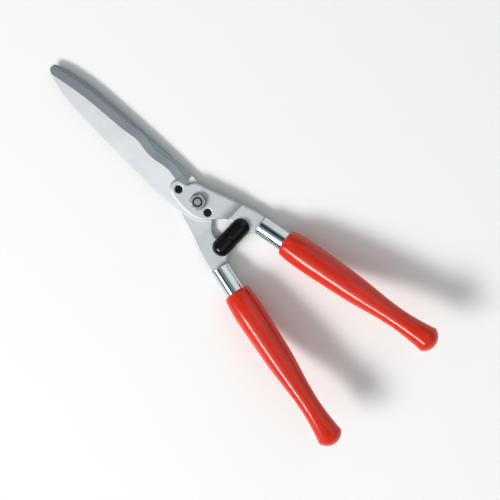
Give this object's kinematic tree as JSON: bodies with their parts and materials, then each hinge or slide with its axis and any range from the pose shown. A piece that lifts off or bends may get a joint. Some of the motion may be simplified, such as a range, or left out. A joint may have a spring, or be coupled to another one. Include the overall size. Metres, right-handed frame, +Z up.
{
  "type": "hedge shears",
  "caption": "Hand hedge shears with wavy steel blades on cranked aluminium arms, rubber buffers, chrome ferrules and red turned wooden handles.",
  "frame": {"origin": "on the flat underside of the pivot bolt's head, on the centre line between the two handles, 4.8 mm to the left of the pivot axis", "axes": "+X along the closed blades to their tips, +Y towards the left handle, +Z up through the pivot stack to the nut"},
  "size_m": [0.558, 0.197, 0.0758],
  "materials": {
    "blade_steel": "satin ground, bevel and hollow finely cross-ground",
    "arm_aluminium": "matt blasted forging",
    "black_screw": "black oxide",
    "zinc_steel": "bright zinc plate",
    "ferrule_chrome": "polished chrome plate",
    "red_lacquer": "gloss red lacquer on hardwood",
    "buffer_rubber": "black moulded rubber"
  },
  "bodies": {
    "lower_half": {"blade_lower": "blade_steel", "arm_lower": "arm_aluminium", "front_screw_lower": "black_screw", "rear_screw_lower": "black_screw", "pivot_bolt": "zinc_steel", "pivot_washer": "zinc_steel", "pivot_nut": "zinc_steel", "ferrule_left": "ferrule_chrome", "ferrule_pin_left": "zinc_steel", "handle_left": "red_lacquer", "buffer_left": "buffer_rubber"},
    "upper_half": {"blade_upper": "blade_steel", "arm_upper": "arm_aluminium", "front_screw_upper": "black_screw", "rear_screw_upper": "black_screw", "ferrule_right": "ferrule_chrome", "ferrule_pin_right": "zinc_steel", "handle_right": "red_lacquer", "buffer_right": "buffer_rubber"}
  },
  "joints": [
    {"name": "pivot", "type": "hinge", "parent": "lower_half", "child": "upper_half", "pos_m": [0, -0.0048, 0.0085], "axis": [0, 0, 1], "range_deg": [0, 75]}
  ]
}
